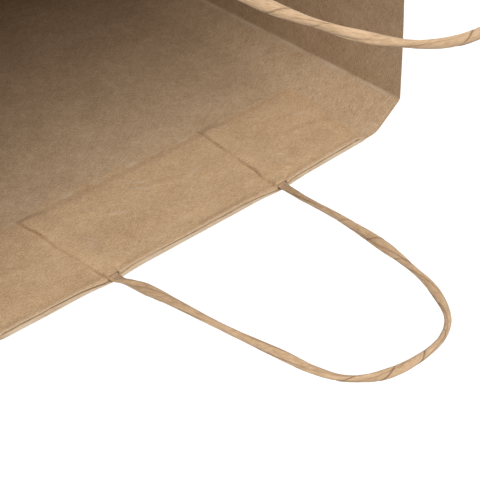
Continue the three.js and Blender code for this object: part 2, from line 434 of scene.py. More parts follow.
class BagShape:
    """Where each point of the folded paper lies. A panel runs straight from its base line to its rim
    line, then slow waves, creases and the fold into the base are added to it."""

    # The height of the paper's finest waves, and how wide the creases in a panel are on each side.
    FINE_HEIGHT = 0.07 * MM
    FOLD_LINE_HALF = 3 * MM
    DIAGONAL_HALF = 2.5 * MM

    # How wide the pale wear is on each side of an upright crease, the fold line, the foot and a diagonal.
    CREASE_WEAR = 0.9 * MM
    FOLD_LINE_WEAR = 1.2 * MM
    FOOT_WEAR = 1.5 * MM
    DIAGONAL_WEAR = 1.8 * MM

    # The waves grow to their full height between these two levels, and over these distances from an
    # upright crease.
    LOOSE_LEVELS = (4 * MM, 50 * MM)
    LOOSE_WALL = 30 * MM
    LOOSE_GUSSET = 20 * MM

    def __init__(self, sheet):
        self.sheet = sheet
        self.bend_radius = sheet.wall_bend / sheet.wall_turn
        end = BAG_WIDTH / 2 - sheet.flat_half - sheet.wall_bend
        turn = sheet.wall_turn
        arc_reach = self.bend_radius * math.sin(turn)
        arc_inset = self.bend_radius * (1 - math.cos(turn))
        self.rim_corner_x = sheet.flat_half + arc_reach + end * math.cos(turn)
        self.rim_corner_y = RIM_WALL_Y - arc_inset - end * math.sin(turn)
        self.crease_height = BAG_DEPTH / 2
        self.fold_line_level = self.crease_height + 2 * MM

    def wall_rim(self, along):
        """The front wall's rim at a distance along it from the middle, with its heading."""
        side = math.copysign(1, along)
        reach = abs(along)
        bent = clamp(reach - self.sheet.flat_half, 0, self.sheet.wall_bend)
        end = max(reach - self.sheet.flat_half - self.sheet.wall_bend, 0)
        turn = bent / self.bend_radius
        x = min(reach, self.sheet.flat_half) + self.bend_radius * math.sin(turn) + end * math.cos(turn)
        inset = self.bend_radius * (1 - math.cos(turn)) + end * math.sin(turn)
        return Vector((side * x, inset - RIM_WALL_Y)), Vector((math.cos(turn), side * math.sin(turn)))

    def gusset_rim(self, along):
        """The right gusset's rim at a distance along it from its middle crease, with its heading."""
        share = abs(along) / (BAG_DEPTH / 2)
        side = math.copysign(1, along)
        dip = self.sheet.gusset_dip
        point = Vector((self.rim_corner_x - dip * (1 - share), side * self.rim_corner_y * share))
        return point, Vector((side * dip, self.rim_corner_y)).normalized()

    def panel(self, base, rim, depth, level):
        """A point of a panel, moved inward by depth, with the fold into the base at its foot."""
        share = level / BAG_HEIGHT
        heading = base[1].lerp(rim[1], share).normalized()
        plan = base[0].lerp(rim[0], share)
        radius = self.sheet.fold_round
        if level < radius * math.pi / 2:
            angle = level / radius
            depth += radius * (1 - math.sin(angle))
            level = radius * (1 - math.cos(angle))
        inward = Vector((-heading.y, heading.x))
        plan += inward * depth
        return Vector((plan.x, plan.y, level))

    def wall_relief(self, along, level, seed):
        """How far the wall stands inward of its panel: waves, the bow of the rim and the fold mark."""
        sheet = self.sheet
        from_crease = BAG_WIDTH / 2 - abs(along)
        height = level / BAG_HEIGHT
        loose = ease(from_crease, 0, self.LOOSE_WALL) * ease(level, *self.LOOSE_LEVELS)
        stiff = mix(1, 0.45, ease(level, BAG_HEIGHT - 80 * MM, BAG_HEIGHT - 40 * MM))
        slow = wave(along, level, 90 * MM, seed=seed) + 0.4 * wave(along, level, 35 * MM, seed=seed + 5)
        fine = wave(along, level, 14 * MM, seed=seed + 9)
        relief = loose * (sheet.cockle * stiff * slow + self.FINE_HEIGHT * fine)
        flat_share = clamp(abs(along) / sheet.flat_half)
        relief -= sheet.rim_bow * (1 - flat_share**2) * height**2
        relief -= sheet.rim_flare * self.rim_share(along, level)
        for place in EXITS:
            relief -= sheet.exit_bulge * bell_curve(along - place, EXIT_WIDTH) * ease(height, 0.95, 1)
        return relief + self.fold_line(from_crease, level)

    def fold_line(self, from_crease, level):
        """How far the line where the base was folded over stands inward, at a distance from the
        nearest upright crease."""
        mark = max(0.0, 1 - abs(level - self.fold_line_level) / self.FOLD_LINE_HALF)
        return self.sheet.fold_mark * mark * ease(from_crease, 0, 4 * MM)

    def rim_share(self, along, level):
        """From 0 below the patch's top edge to 1 at the rim above it, and 0 past the patch's ends."""
        beside = 1 - ease(abs(along), PATCH_LENGTH / 2 - 2 * MM, PATCH_LENGTH / 2 + 2 * MM)
        return beside * clamp((level - PATCH_TOP + 0.3 * MM) / (BAG_HEIGHT - PATCH_TOP))

    def gusset_relief(self, along, level, seed):
        """The same for a gusset, with the folds that run up from the base's corners to its middle."""
        sheet = self.sheet
        from_crease = min(abs(along), BAG_DEPTH / 2 - abs(along))
        loose = ease(from_crease, 0, self.LOOSE_GUSSET) * ease(level, *self.LOOSE_LEVELS)
        relief = loose * sheet.cockle * 0.8 * wave(along, level, 60 * MM, seed=seed)
        relief += loose * self.FINE_HEIGHT * wave(along, level, 14 * MM, seed=seed + 9)
        from_diagonal = abs(level + abs(along) - BAG_DEPTH / 2) / math.sqrt(2)
        diagonal = max(0.0, 1 - from_diagonal / self.DIAGONAL_HALF)
        relief -= sheet.fold_mark * diagonal * ease(level, 0, 8 * MM)
        return relief + self.fold_line(from_crease, level)

    def wall(self, along, level, depth=0.0, seed=1.0):
        """A point of the front wall."""
        base = Vector((along, -BAG_DEPTH / 2)), Vector((1, 0))
        inset = depth + self.wall_relief(along, level, seed)
        return self.panel(base, self.wall_rim(along), inset, level)

    def gusset(self, along, level, seed=1.0):
        """A point of the right gusset."""
        base = Vector((BAG_WIDTH / 2, along)), Vector((0, 1))
        return self.panel(base, self.gusset_rim(along), self.gusset_relief(along, level, seed), level)

    def back_wall(self, along, level, depth=0.0):
        return turned(self.wall(along, level, depth, seed=2.0))

    def around(self, s, level):
        """A point of the body's sheet at a distance round it from the back left corner: the left
        gusset, the front wall, the right gusset and the back wall. Before zero is the seam flap."""
        corners = self.corners()
        if s < corners[0]:
            return self.back_wall(BAG_WIDTH / 2 + s, level, self.sheet.paper + self.sheet.glue)
        if s <= corners[2]:
            return turned(self.gusset(s - corners[1], level, seed=3.0))
        if s <= corners[3]:
            return self.wall(s - corners[2] - BAG_WIDTH / 2, level)
        if s <= corners[5]:
            return self.gusset(s - corners[4], level, seed=4.0)
        return self.back_wall(s - corners[5] - BAG_WIDTH / 2, level)

    def tone(self, s, row):
        """Paler where the sheet is worn along its creases. Above the patches it is painted paler, a highlight
        on the wall's strip, with a painted shadow in the gap along their tops.
        """
        corners = self.corners()
        for start in (corners[2], corners[5]):
            along = s - start - BAG_WIDTH / 2
            if abs(along) < PATCH_LENGTH / 2 and row > PATCH_TOP - 2 * MM:
                above = row - cut_level(along)
                gap = clamp(0.8 + 1.5 * wave(along, 0, 19 * MM, seed=31.0))
                # Painted shadow in the gap under the patch's lifted top edge.
                dark = gap * ease(above, -1.5 * MM, -0.5 * MM) * (1 - ease(above, 0.05 * MM, 0.45 * MM))
                # Painted highlight on the wall's strip above the patch's top edge.
                pale = ease(above, 0.2 * MM, 0.6 * MM) * (0.7 + 0.6 * wave(along, row, 6 * MM, seed=33.0))
                return dark - pale
        worn = clamp(0.6 + 0.9 * wave(s, row, 12 * MM, seed=37.0))
        from_crease = min(abs(s - corner) for corner in corners)
        pale = bell_curve(from_crease, self.CREASE_WEAR)
        pale = max(pale, 0.6 * bell_curve(row - self.fold_line_level, self.FOLD_LINE_WEAR))
        pale = max(pale, 0.8 * bell_curve(row, self.FOOT_WEAR))
        for middle in (corners[1], corners[4]):
            off = abs(s - middle)
            if off < BAG_DEPTH / 2:
                from_diagonal = (row + off - BAG_DEPTH / 2) / math.sqrt(2)
                pale = max(pale, 0.6 * bell_curve(from_diagonal, self.DIAGONAL_WEAR))
        return -0.8 * worn * pale

    def corners(self):
        """Distances round the sheet to its upright creases and its end."""
        half, width = BAG_DEPTH / 2, BAG_WIDTH
        return [0, half, 2 * half, 2 * half + width, 3 * half + width, 4 * half + width, 4 * half + 2 * width]

    def rolled(self, s, level):
        """A point of the body's sheet with its upright creases rolled over."""
        reach = self.sheet.corner_round
        for crease in self.corners()[:-1]:
            if abs(s - crease) < reach:
                before = self.around(crease - reach, level)
                after = self.around(crease + reach, level)
                left = self.around(crease - 1e-7, level)
                right = self.around(crease + 1e-7, level)
                tip = self.crease_tip(before, left, right, after)
                share = (s - crease + reach) / (2 * reach)
                return before.lerp(tip, share).lerp(tip.lerp(after, share), share)
        return self.around(s, level)

    @staticmethod
    def crease_tip(before, left, right, after):
        """Where the two sides of a crease meet in plan, or their middle where they run on straight."""
        a = (left - before).to_2d()
        b = (right - after).to_2d()
        cross = a.x * b.y - a.y * b.x
        middle = (left + right) / 2
        if abs(cross) < 1e-9:
            return middle
        gap = (after - before).to_2d()
        share = (gap.x * b.y - gap.y * b.x) / cross
        plan = before.to_2d() + a * share
        return Vector((plan.x, plan.y, middle.z))


# ---------------------------------------------------------------------------------------------------
# Materials
# ---------------------------------------------------------------------------------------------------


def add_node(tree, kind, settings=None, links=None):
    """Adds one shader node. settings are its own values and its sockets' values, links feed sockets."""
    node = tree.nodes.new("ShaderNode" + kind)
    for key, value in (settings or {}).items():
        if isinstance(key, str) and hasattr(node, key):
            setattr(node, key, value)
        else:
            node.inputs[key].default_value = value
    for key, source in (links or {}).items():
        tree.links.new(source, node.inputs[key])
    return node


def new_material(name):
    """An empty node material with its output, and its tree."""
    material = bpy.data.materials.new(name)
    material.use_nodes = True
    tree = material.node_tree
    tree.nodes.clear()
    return material, tree, add_node(tree, "OutputMaterial")


def rgba(colour):
    return (*colour, 1)


def pattern(tree, coords, feature, detail=3.0, stretch=(1, 1, 1), place=(0, 0, 0), warp=0.0):
    """Noise from 0 to 1 whose features are the given size in metres, drawn out by stretch."""
    mapping = add_node(
        tree,
        "Mapping",
        {"Scale": tuple(1 / (feature * s) for s in stretch), "Location": place},
        {"Vector": coords},
    )
    settings = {"Scale": 1.0, "Detail": detail, "Roughness": 0.6, "Distortion": warp}
    return add_node(tree, "TexNoise", settings, {"Vector": mapping.outputs["Vector"]}).outputs["Fac"]


def math_node(tree, operation, a, b):
    """One sum or product of two sockets or numbers."""
    node = add_node(tree, "Math", {"operation": operation})
    for socket, value in zip(node.inputs, (a, b)):
        if isinstance(value, (int, float)):
            socket.default_value = value
        else:
            tree.links.new(value, socket)
    return node.outputs["Value"]


def weighted(tree, parts):
    """The sum of patterns centred on zero, each times its weight, centred on one half."""
    total = 0.5 - sum(weight / 2 for _, weight in parts)
    for source, weight in parts:
        total = math_node(tree, "ADD", math_node(tree, "MULTIPLY", source, weight), total)
    return total


def paper_shader(
    tree, output, coords, tones, weights, bump, roughness, grain=(5, 1, 1), place=(0, 0, 0), shades=None
):
    """Matt paper. Clouds of pulp, a finer mottle, fibres drawn out along the grain and specks set its
    tone. All but the clouds set its height, and the mottle sets its roughness."""
    clouds = pattern(tree, coords, 16 * MM, 4, (1.6, 1, 1), place, 0.4)
    mottle = pattern(tree, coords, 3.2 * MM, 4, (1.5, 1, 1), place, 0.3)
    # Real fibres are 0.02 to 0.05 mm wide. They are drawn in bundles 0.4 mm wide, so that they show.
    fibres = pattern(tree, coords, 0.4 * MM, 3, grain, place, 0.5)
    specks = pattern(tree, coords, 0.5 * MM, 2, (1, 1, 1), place)
    cloud_share, mottle_share, fibre_share, speck_share = weights
    tone = weighted(
        tree,
        [(clouds, cloud_share), (mottle, mottle_share), (fibres, fibre_share), (specks, speck_share)],
    )
    dark, light = tones
    colour = add_node(
        tree,
        "Mix",
        {"data_type": "RGBA", "clamp_factor": True, 6: rgba(dark), 7: rgba(light)},
        {0: tone},
    ).outputs[2]
    warm = pattern(tree, coords, 9 * MM, 3, (2.5, 1, 1), place)
    warm_share = math_node(tree, "MULTIPLY", warm, 0.16)
    colour = add_node(
        tree,
        "Mix",
        {"data_type": "RGBA", "blend_type": "MULTIPLY", 7: (1.0, 0.86, 0.72, 1)},
        {0: warm_share, 6: colour},
    ).outputs[2]
    if shades is not None:
        # Tone above zero darkens the paper with painted shade. Below zero it makes it paler, as real wear on
        # creases and rubbed marks, and as a painted highlight along the rim above the patches and their cut
        # top edges.
        tone = add_node(tree, "Attribute", {"attribute_name": "Tone"}).outputs["Fac"]
        for shade, reach in zip(shades, (1, -1)):
            share = add_node(
                tree, "MapRange", {"From Min": 0.0, "From Max": reach, "To Max": 0.8}, {"Value": tone}
            ).outputs[0]
            mixed = add_node(tree, "Mix", {"data_type": "RGBA", 7: rgba(shade)}, {0: share, 6: colour})
            colour = mixed.outputs[2]
    height = weighted(tree, [(mottle, 0.5), (fibres, 0.35), (specks, 0.25)])
    relief = add_node(tree, "Bump", {"Strength": 1.0, "Distance": bump}, {"Height": height})
    rough = math_node(tree, "ADD", math_node(tree, "MULTIPLY", mottle, 0.14), roughness - 0.07)
    shader = add_node(
        tree,
        "BsdfPrincipled",
        {"IOR": 1.5, "Specular IOR Level": 0.25, "Sheen Weight": 0.08, "Sheen Roughness": 0.5},
        {"Base Color": colour, "Roughness": rough, "Normal": relief.outputs["Normal"]},
    )
    tree.links.new(shader.outputs["BSDF"], output.inputs["Surface"])


def uv_coords(tree):
    return add_node(tree, "TexCoord").outputs["UV"]


def kraft_outside(colours):
    """Machine-glazed kraft, the side that was pressed on the hot cylinder: even, with a faint sheen."""
    material, tree, output = new_material("kraft_glazed_side")
    tones = colours.wall_dark, colours.wall_light
    weights = (0.5, 0.5, 1.0, 0.8)
    # The painted shadow of the gap along the patch tops shows on this face too, in the dark wall tone, beside
    # the pale of worn creases and the painted rim highlight.
    shades = colours.wall_dark, colours.rim
    paper_shader(tree, output, uv_coords(tree), tones, weights, 0.06 * MM, 0.72, (1, 6, 1), shades=shades)
    return material


def kraft_inside(colours):
    """Kraft's unglazed side: matt, cloudy and fibrous."""
    material, tree, output = new_material("kraft_rough_side")
    tones = colours.wall_dark, colours.wall_light
    weights = (0.5, 0.6, 1.4, 1.7)
    # Fold is painted shade here, in the gap along the patch tops; rim is the pale of worn creases and of the
    # painted highlight above the patches.
    shades = colours.fold, colours.rim
    paper_shader(tree, output, uv_coords(tree), tones, weights, 0.12 * MM, 0.88, (5, 1, 1), shades=shades)
    return material


def patch_paper(colours):
    """Smoother, warmer kraft of the handle patch, a little cockled by its glue."""
    material, tree, output = new_material("kraft_patch_paper")
    tones = colours.patch_dark, colours.patch_light
    weights = (0.5, 0.45, 1.3, 1.6)
    # Fold is painted shade at the ridges' feet and round the cords' holes; rim is the pale of rubbed marks,
    # flecks and a painted highlight along the cut top edge.
    shades = colours.fold, colours.rim
    place = (0.3, 0.7, 0)
    paper_shader(
        tree, output, uv_coords(tree), tones, weights, 0.1 * MM, 0.84, (5, 1, 1), place, shades=shades
    )
    return material


def cut_edge(colours):
    """The cut through the sheet, where loose fibres make the paper paler."""
    material, tree, output = new_material("kraft_cut_edge")
    tones = colours.wall_light, colours.edge
    coords = add_node(tree, "TexCoord").outputs["Object"]
    # The cut edges take the tone of the faces beside them: painted shade in the fold colour, and paler in the
    # edge colour.
    shades = colours.fold, colours.edge
    paper_shader(tree, output, coords, tones, (0.2, 0.4, 0.5, 0.5), 0.05 * MM, 0.9, shades=shades)
    return material


def cord_paper(colours):
    """A kraft strip twisted hard into a cord: streaks run along the twist, and painted shade makes the
    strip's folds dark lines."""
    material, tree, output = new_material("twisted_kraft_cord")
    tones = colours.cord_dark, colours.cord_light
    weights = (0.5, 0.5, 1.2, 0.4)
    shades = colours.cord_fold_shade, colours.cord_light
    paper_shader(tree, output, uv_coords(tree), tones, weights, 0.08 * MM, 0.7, (8, 1, 1), shades=shades)
    return material


def floor_paint(colours):
    """Smooth matt paint, with the faintest unevenness."""
    material, tree, output = new_material("matt_floor_paint")
    coords = add_node(tree, "TexCoord").outputs["Object"]
    clouds = pattern(tree, coords, 0.4, 2)
    rough = math_node(tree, "ADD", math_node(tree, "MULTIPLY", clouds, 0.1), 0.8)
    shader = add_node(
        tree,
        "BsdfPrincipled",
        {"Base Color": rgba(colours.floor), "Specular IOR Level": 0.2},
        {"Roughness": rough},
    )
    tree.links.new(shader.outputs["BSDF"], output.inputs["Surface"])
    return material


# The names of the materials made so far, under the names of the functions that make them.
SHARED_NAMES = {}


def stocked(maker, colours):
    """The material that maker gives, made once and then shared by the pieces."""
    key = maker.__name__
    made = bpy.data.materials.get(SHARED_NAMES.get(key, ""))
    if made is None:
        made = maker(colours)
        SHARED_NAMES[key] = made.name
    return made


def body_papers(colours):
    """The papers of the body and its flaps, in the order outer face, inner face, cut edge."""
    return [stocked(kraft_outside, colours), stocked(kraft_inside, colours), stocked(cut_edge, colours)]


def strip_papers(colours):
    """The same for the strips of the patches, whose two faces are alike."""
    return [stocked(patch_paper, colours), stocked(patch_paper, colours), stocked(cut_edge, colours)]


# ---------------------------------------------------------------------------------------------------
# Stage
# ---------------------------------------------------------------------------------------------------


def make_camera(stage):
    """A camera at the given azimuth, elevation and roll, without shift or depth of field."""
    azimuth, elevation = stage.azimuth, stage.elevation
    flat = math.cos(elevation)
    back = Vector((math.sin(azimuth) * flat, -math.cos(azimuth) * flat, math.sin(elevation)))
    level_right = Vector((math.cos(azimuth), math.sin(azimuth), 0))
    level_up = back.cross(level_right)
    right = level_right * math.cos(stage.roll) + level_up * math.sin(stage.roll)
    up = back.cross(right)
    data = bpy.data.cameras.new("view")
    data.sensor_width = 36
    data.lens = stage.lens
    data.clip_start = 0.01
    data.clip_end = 50
    camera = bpy.data.objects.new("view", data)
    rotation = Matrix((right, up, back)).transposed().to_4x4()
    place = Vector((stage.camera_x, stage.camera_y, stage.camera_z))
    camera.matrix_world = Matrix.Translation(place) @ rotation
    bpy.context.scene.collection.objects.link(camera)
    bpy.context.scene.camera = camera
    return camera


def make_light(name, strength, azimuth, elevation, spread):
    """A broad soft light from one side and above."""
    flat = math.cos(elevation)
    towards = Vector((math.sin(azimuth) * flat, -math.cos(azimuth) * flat, math.sin(elevation)))
    data = bpy.data.lights.new(name, "SUN")
    data.energy = strength
    data.angle = spread
    light = bpy.data.objects.new(name, data)
    light.location = towards * 2
    light.rotation_mode = "QUATERNION"
    light.rotation_quaternion = towards.to_track_quat("Z", "Y")
    bpy.context.scene.collection.objects.link(light)


def make_sky(strength):
    """Even white light from all round."""
    world = bpy.data.worlds.new("soft_room")
    world.use_nodes = True
    background = world.node_tree.nodes["Background"]
    background.inputs["Color"].default_value = (1, 1, 1, 1)
    background.inputs["Strength"].default_value = strength
    bpy.context.scene.world = world


class GIFTBAG_OT_stage(Operator):
    """Make the camera, the floor and the lights"""

    bl_idname = "giftbag.stage"
    bl_label = "Stage"

    def execute(self, context):
        stage = context.scene.gift_bag_stage
        colours = context.scene.gift_bag_colours
        context.scene.view_settings.view_transform = "Standard"
        make_camera(stage)
        make_sky(stage.sky)
        spread = stage.light_spread
        make_light("key", stage.key_strength, stage.key_azimuth, stage.key_elevation, spread)
        make_light("fill", stage.fill_strength, stage.fill_azimuth, stage.fill_elevation, spread)
        half = stage.floor_size / 2
        mesh = grid_mesh("floor", spans(-half, [(half, 1)]), spans(-half, [(half, 1)]), self.floor_point)
        floor = link_object("floor", mesh, [floor_paint(colours)])
        return {"FINISHED"}

    @staticmethod
    def floor_point(x, y):
        return Vector((x, y, -0.2 * MM)), 0.0


# ---------------------------------------------------------------------------------------------------
# Handles
# ---------------------------------------------------------------------------------------------------


class CordShape:
    """The cord's line and section, from the pressed end under the patch to the free loop."""

    def __init__(self, scene):
        self.bag = BagShape(scene.gift_bag_sheet)
        self.patch = scene.gift_bag_patch
        self.cord = scene.gift_bag_cord
        self.paper = scene.gift_bag_sheet.paper
        self.glue = scene.gift_bag_sheet.glue

    def leg_middle(self, side, height):
        """Where a glued end's middle lies along the wall, at a height above the rim."""
        patch = self.patch
        if side > 0:
            start, splay = patch.right_exit, patch.right_splay
        else:
            start, splay = patch.left_exit, patch.left_splay
        return side * (start - splay * height / (BAG_HEIGHT - PATCH_LOW.z))

    def freed(self, height):
        """From 0 where the end is pressed flat to 1 where the cord is free, by height above the rim."""
        top = self.patch.freed_above
        return ease(height, top - self.patch.release, top)

    def half_thickness(self, height):
        return mix(self.patch.pressed_half, self.cord.narrow_half, self.freed(height))

    def half_width(self, height):
        return mix(self.patch.pressed_width, self.cord.broad_half, self.freed(height))

    def layer(self, height):
        """The centreline's distance inward from the wall's outer face."""
        pressed = 2 * (self.paper + self.glue) + self.patch.pressed_half
        free = RIM_WALL_Y + FRONT_PIVOT.y
        return mix(pressed, free, self.freed(height))

    def leg_point(self, side, height):
        """A point of the centreline at or below the rim, on the front wall."""
        level = BAG_HEIGHT + height
        return self.bag.wall(self.leg_middle(side, height), level, self.layer(height))

    def route(self):
        """The free cord's centreline on the front handle, from its right exit to its left one, as
        evenly spaced points."""
        buried = self.cord.buried
        depths = [-buried * (1 - i / 4) for i in range(5)]
        start = [self.leg_point(1, height) for height in depths]
        end = [self.leg_point(-1, height) for height in reversed(depths)]
        free = [self.free_point(x, height) for x, height in LOOP_ROUTE]
        return even_line(start + free + end, self.cord.rings)

    def free_point(self, x, height):
        """A point of the loop, which leans from where its end leaves the patch into its own plane."""
        side = math.copysign(1, x)
        first, second = (LOOP_ROUTE[0], LOOP_ROUTE[1]) if side > 0 else (LOOP_ROUTE[-1], LOOP_ROUTE[-2])
        leg = self.leg_point(side, 0)
        lean = 1 - clamp(height / self.patch.lean_height)
        x += lean * (leg.x - 2 * first[0] + second[0])
        y = mix(FRONT_PIVOT.y, leg.y, lean)
        return Vector((x, y, BAG_HEIGHT + height))


def even_line(points, count):
    """Evenly spaced points of a smooth line through the given ones."""
    fine = []
    padded = [2 * points[0] - points[1], *points, 2 * points[-1] - points[-2]]
    for a, b, c, d in zip(padded, padded[1:], padded[2:], padded[3:]):
        knots = [0.0]
        for p, q in ((a, b), (b, c), (c, d)):
            knots.append(knots[-1] + max((q - p).length, 1e-6) ** 0.5)
        for i in range(24):
            fine.append(spline_point((a, b, c, d), knots, mix(knots[1], knots[2], i / 24)))
    fine.append(points[-1])
    lengths = [0.0]
    for p, q in zip(fine, fine[1:]):
        lengths.append(lengths[-1] + (q - p).length)
    line = []
    index = 0
    for i in range(count + 1):
        want = lengths[-1] * i / count
        while index < len(fine) - 2 and lengths[index + 1] < want:
            index += 1
        share = (want - lengths[index]) / (lengths[index + 1] - lengths[index])
        line.append(fine[index].lerp(fine[index + 1], clamp(share)))
    return line


def spline_point(points, knots, t):
    """A point of the centripetal Catmull-Rom curve through four points."""
    a, b, c, d = points
    ab = a.lerp(b, (t - knots[0]) / (knots[1] - knots[0]))
    bc = b.lerp(c, (t - knots[1]) / (knots[2] - knots[1]))
    cd = c.lerp(d, (t - knots[2]) / (knots[3] - knots[2]))
    abc = ab.lerp(bc, (t - knots[0]) / (knots[2] - knots[0]))
    bcd = bc.lerp(cd, (t - knots[1]) / (knots[3] - knots[1]))
    return abc.lerp(bcd, (t - knots[1]) / (knots[2] - knots[1]))


def fold_depth(angle, run, seed):
    """How deep the twisted strip's folds are at an angle round the cord, and how much painted shade they get:
    one open edge that steps down, and two closed creases."""
    wander = 0.3 * wave(run, 0, 20 * MM, seed=seed)
    past = (angle - wander) % (2 * math.pi)
    shown = clamp(0.65 + 1.2 * wave(run, 0, 25 * MM, seed=seed + 2))
    depth = OPEN_EDGE_DEPTH * math.exp(-past / 0.45) * ease(past, 0, 0.12)
    dark = shown * bell_curve(off_angle(past - 0.12), 0.17)
    for place, deepest in CLOSED_CREASES:
        shown = clamp(0.6 + 1.2 * wave(run, place, 30 * MM, seed=seed))
        crease = shown * bell_curve(off_angle(angle - place - wander * 1.5), 0.16)
        depth += deepest * crease
        dark += 0.8 * crease
    return depth, dark


def wrap_depth(angle, run, pitch, seed):
    """How deep the strip's edge is where it wraps round the cord at a slant, and how much painted shade it
    gets.
    """
    lead = 2 * math.pi * (run - WRAP_START) / pitch + 0.3 * wave(run, 1, 20 * MM, seed=seed)
    past = (lead - angle) % (2 * math.pi)
    depth = WRAPPED_EDGE_DEPTH * math.exp(-past / 0.3) * ease(past, 0, 0.1)
    return depth, bell_curve(off_angle(past - 0.12), 0.2)


def off_angle(angle):
    """The same angle, between minus half a turn and half a turn."""
    return (angle + math.pi) % (2 * math.pi) - math.pi


def cord_tube(name, line, shape, height_at, twisted, seed):
    """The mesh of a cord along a line. height_at gives its height above the rim at a share of its
    length. A cord that isn't twisted is a pressed end, without folds."""
    sides = shape.cord.sides
    count = len(line) - 1
    length = sum((q - p).length for p, q in zip(line, line[1:]))
    columns = [length * i / count for i in range(count + 1)]
    around = [shape.cord.diameter * math.pi * i / sides for i in range(sides + 1)]
    frames = []
    for i in range(count + 1):
        tangent = (line[min(i + 1, count)] - line[max(i - 1, 0)]).normalized()
        across = tangent.cross(Vector((0, 1, 0))).normalized()
        frames.append((across, across.cross(tangent).normalized()))

    def place(column, row):
        i = round(column / length * count)
        share = i / count
        angle = 2 * math.pi * row / around[-1] % (2 * math.pi - 1e-9)
        height = height_at(share)
        freed = shape.freed(height)
        swell = along_list(SWELL, share) if twisted else 1
        swell *= 1 + 0.03 * wave(column, 0, 12 * MM, seed=seed) * freed
        x = shape.half_width(height) * swell * math.cos(angle)
        y = shape.half_thickness(height) * swell * math.sin(angle)
        spot = Vector((column / 0.004, math.cos(angle) * 1.5, math.sin(angle) * 1.5 + seed))
        dent = -0.05 * MM * noise.noise(spot)
        phase = 0.0
        dark = 0.0
        if twisted:
            phase = math.pi * along_list(TWIST, share)
            fold, dark = fold_depth(angle, column, seed)
            wrap, wrap_dark = wrap_depth(angle + phase, column, shape.cord.wrap_pitch, seed)
            wrapped = along_list(WRAP, share)
            dent += fold + wrapped * wrap
            dark += wrapped * wrap_dark
        keep = 1 - dent * freed / math.hypot(x, y)
        across, out = frames[i]
        sideways = keep * (x * math.cos(phase) - y * math.sin(phase))
        outward = keep * (x * math.sin(phase) + y * math.cos(phase))
        # The tone is the painted shade of the folds, weaker where the cord is still pressed.
        return line[i] + across * sideways + out * outward, clamp(dark) * mix(0.2, 1, freed)

    return grid_mesh(name, columns, around, place, wrap=True)


class GIFTBAG_OT_cords(Operator):
    """Make the free loop of each handle, from where it leaves the patch to where it goes back in"""

    bl_idname = "giftbag.cords"
    bl_label = "Handle cords"

    def execute(self, context):
        shape = CordShape(context.scene)
        for side, half_turn in HALVES:
            self.make_cord(context, shape, side, half_turn)
        return {"FINISHED"}

    @staticmethod
    def make_cord(context, shape, side, half_turn):
        line = shape.route()

        def height_at(share):
            return line[round(share * (len(line) - 1))].z - BAG_HEIGHT

        mesh = cord_tube(f"{side}_cord", line, shape, height_at, True, 3.0 if half_turn else 8.0)
        if half_turn:
            line = [turned(point) for point in line]
        paper = stocked(cord_paper, context.scene.gift_bag_colours)
        cord = link_object(f"{side}_cord", mesh, [paper], half_turn)
        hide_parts(f"{side}_handle_loop")
        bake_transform(cord)


class GIFTBAG_OT_glued_ends(Operator):
    """Make the four pressed ends of the cords, between the strips of the patches"""

    bl_idname = "giftbag.glued_ends"
    bl_label = "Glued cord ends"

    def execute(self, context):
        shape = CordShape(context.scene)
        top = -shape.cord.buried - 0.1 * MM
        bottom = PATCH_LOW.z - BAG_HEIGHT + shape.patch.end_short
        heights = [mix(bottom, top, i / END_RINGS) for i in range(END_RINGS + 1)]
        for half, half_turn in HALVES:
            for side, sign in (("left", -1), ("right", 1)):
                line = [shape.leg_point(sign, height) for height in heights]
                name = f"{half}_{side}_glued_end"
                mesh = cord_tube(name, line, shape, lambda share: mix(bottom, top, share), False, 5.0)
                paper = stocked(cord_paper, context.scene.gift_bag_colours)
                end = link_object(name, mesh, [paper], half_turn)
                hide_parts(f"{half}_{side}_cord_end")
                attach(end, "bag")
        return {"FINISHED"}


